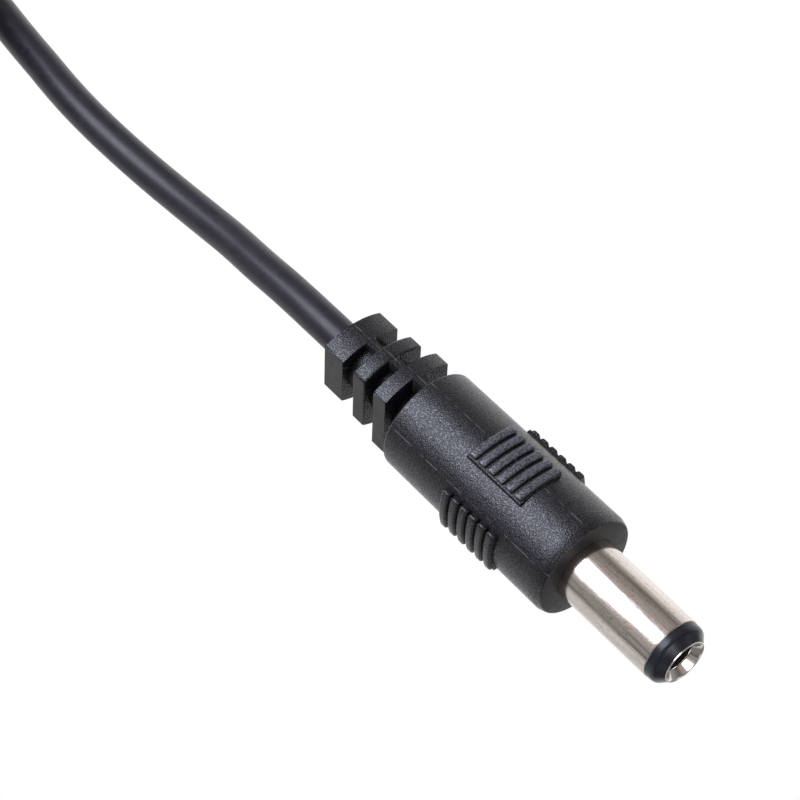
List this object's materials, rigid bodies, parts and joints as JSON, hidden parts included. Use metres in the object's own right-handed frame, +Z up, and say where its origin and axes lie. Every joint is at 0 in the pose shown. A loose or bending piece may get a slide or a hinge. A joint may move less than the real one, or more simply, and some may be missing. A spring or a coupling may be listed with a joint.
{
  "type": "dc barrel plug",
  "caption": "Straight moulded DC power plug: nickel barrel sleeve, insulated spring contact, ribbed grip, slotted strain relief and a round lead with bare ends.",
  "frame": {"origin": "on the plug's axis at the shoulder, where the bare sleeve comes out of the moulding", "axes": "+X along the plug's axis towards its tip, +Z up, the flanges' flat sides face +Y and -Y"},
  "size_m": [0.1268, 0.0372, 0.0161],
  "materials": {
    "black_pvc": "fine spark-eroded grain, soft sheen",
    "grey_pvc": "plain, hidden inside the plug",
    "nickel_sleeve": "nickel plate, turned, fine marks along the axis",
    "nickel_contact": "nickel plate, bright",
    "nickel_lug": "nickel plate, stamped",
    "black_insulator": "smooth, satin",
    "ivory_insulator": "plain",
    "solder": "tin solder, satin",
    "red_insulation": "PVC, satin",
    "black_insulation": "PVC, satin",
    "copper": "bare copper strands",
    "tinned_copper": "strands dipped in solder",
    "black_jacket": "smooth PVC jacket, satin",
    "black_strap": "plain strap tie"
  },
  "bodies": {
    "root": {"overmould": "black_pvc", "inner_mould": "grey_pvc", "barrel_sleeve": "nickel_sleeve", "sleeve_lug": "nickel_lug", "front_insulator": "black_insulator", "centre_contact": "nickel_contact", "rear_insulator": "ivory_insulator", "centre_solder": "solder", "sleeve_solder": "solder", "red_core": "red_insulation", "black_core": "black_insulation", "red_strands": "copper", "black_strands": "copper", "cord": "black_jacket", "cord_coil": "black_jacket", "cord_tail": "black_jacket", "coil_tie": "black_strap", "red_core_tail": "red_insulation", "black_core_tail": "black_insulation", "red_tinned_tip": "tinned_copper", "black_tinned_tip": "tinned_copper"}
  },
  "joints": []
}
